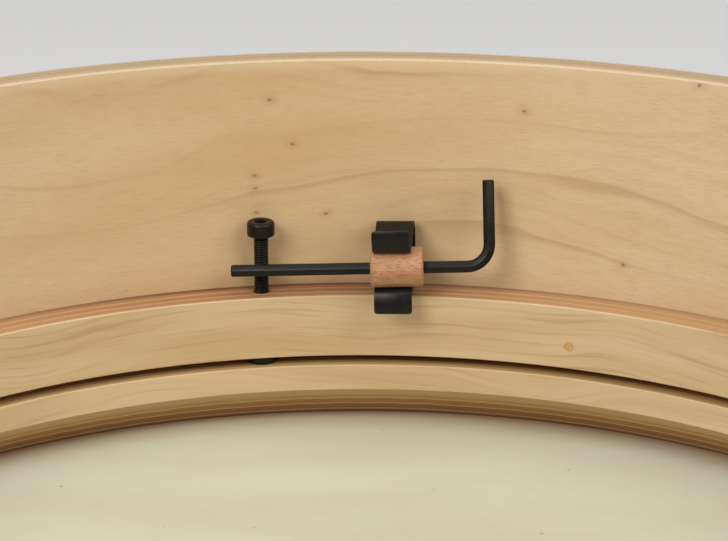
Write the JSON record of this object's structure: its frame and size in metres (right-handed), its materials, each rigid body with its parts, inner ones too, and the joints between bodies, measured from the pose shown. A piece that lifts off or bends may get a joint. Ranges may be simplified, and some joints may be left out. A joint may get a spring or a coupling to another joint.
{
  "type": "frame drum",
  "caption": "Round shallow drum with one skin head, an internal tuning ring pushed by socket screws, and a hex key held in a spring clip.",
  "frame": {"origin": "on the drum's axis, on the outer face of the head", "axes": "+Z along the drum's axis from the head to the open rear rim, +Y towards the wall beside the key clip, +X to the right of someone facing that wall"},
  "size_m": [0.357, 0.357, 0.098],
  "materials": {
    "shell_wood": "satin",
    "ring_wood": "satin",
    "head_skin": "matte",
    "black_steel": "satin",
    "pin_wood": "satin",
    "beech": "satin"
  },
  "bodies": {
    "drum": {"shell": "shell_wood", "support_ring": "ring_wood", "drumhead": "head_skin", "insert_nuts": "black_steel", "ring_pins": "pin_wood", "key_clip": "black_steel", "clip_screw": "black_steel"},
    "tuning_ring": {"tuning_ring": "ring_wood", "thrust_pads": "black_steel"},
    "tuning_screw_1": {"tuning_screw_1": "black_steel"},
    "tuning_screw_2": {"tuning_screw_2": "black_steel"},
    "tuning_screw_3": {"tuning_screw_3": "black_steel"},
    "tuning_screw_4": {"tuning_screw_4": "black_steel"},
    "tuning_screw_5": {"tuning_screw_5": "black_steel"},
    "tuning_screw_6": {"tuning_screw_6": "black_steel"},
    "key_sleeve": {"key_sleeve": "beech"},
    "hex_key": {"hex_key": "black_steel"}
  },
  "joints": [
    {"name": "ring_slide", "type": "slide", "parent": "drum", "child": "tuning_ring", "axis": [0, 0, 1], "range_m": [-0.003, 0.0003], "deforming": ["drumhead"]},
    {"name": "screw_1_turn", "type": "hinge", "parent": "tuning_ring", "child": "tuning_screw_1", "pos_m": [-0.01586, 0.16474, 0.0555], "axis": [0, 0, 1], "range_deg": [-1540, 154]},
    {"name": "screw_2_turn", "type": "hinge", "parent": "tuning_ring", "child": "tuning_screw_2", "pos_m": [0.13474, 0.09611, 0.0555], "axis": [0, 0, 1], "range_deg": [-1540, 154]},
    {"name": "screw_3_turn", "type": "hinge", "parent": "tuning_ring", "child": "tuning_screw_3", "pos_m": [0.1506, -0.06863, 0.0555], "axis": [0, 0, 1], "range_deg": [-1540, 154]},
    {"name": "screw_4_turn", "type": "hinge", "parent": "tuning_ring", "child": "tuning_screw_4", "pos_m": [0.01586, -0.16474, 0.0555], "axis": [0, 0, 1], "range_deg": [-1540, 154]},
    {"name": "screw_5_turn", "type": "hinge", "parent": "tuning_ring", "child": "tuning_screw_5", "pos_m": [-0.13474, -0.09611, 0.0555], "axis": [0, 0, 1], "range_deg": [-1540, 154]},
    {"name": "screw_6_turn", "type": "hinge", "parent": "tuning_ring", "child": "tuning_screw_6", "pos_m": [-0.1506, 0.06863, 0.0555], "axis": [0, 0, 1], "range_deg": [-1540, 154]},
    {"name": "sleeve_pull", "type": "slide", "parent": "drum", "child": "key_sleeve", "axis": [-0.1149, -0.9934, 0], "range_m": [0, 0.045], "deforming": ["key_clip"]},
    {"name": "key_turn", "type": "hinge", "parent": "key_sleeve", "child": "hex_key", "pos_m": [0.01911, 0.15634, 0.04569], "axis": [0.9926, -0.1149, 0.0384], "range_deg": [-6, 160]}
  ],
  "couplings": [
    {"joint": "ring_slide", "follows": "screw_1_turn", "m_per_rad": 0.00011141},
    {"joint": "screw_2_turn", "follows": "screw_1_turn", "ratio": 1},
    {"joint": "screw_3_turn", "follows": "screw_1_turn", "ratio": 1},
    {"joint": "screw_4_turn", "follows": "screw_1_turn", "ratio": 1},
    {"joint": "screw_5_turn", "follows": "screw_1_turn", "ratio": 1},
    {"joint": "screw_6_turn", "follows": "screw_1_turn", "ratio": 1}
  ]
}
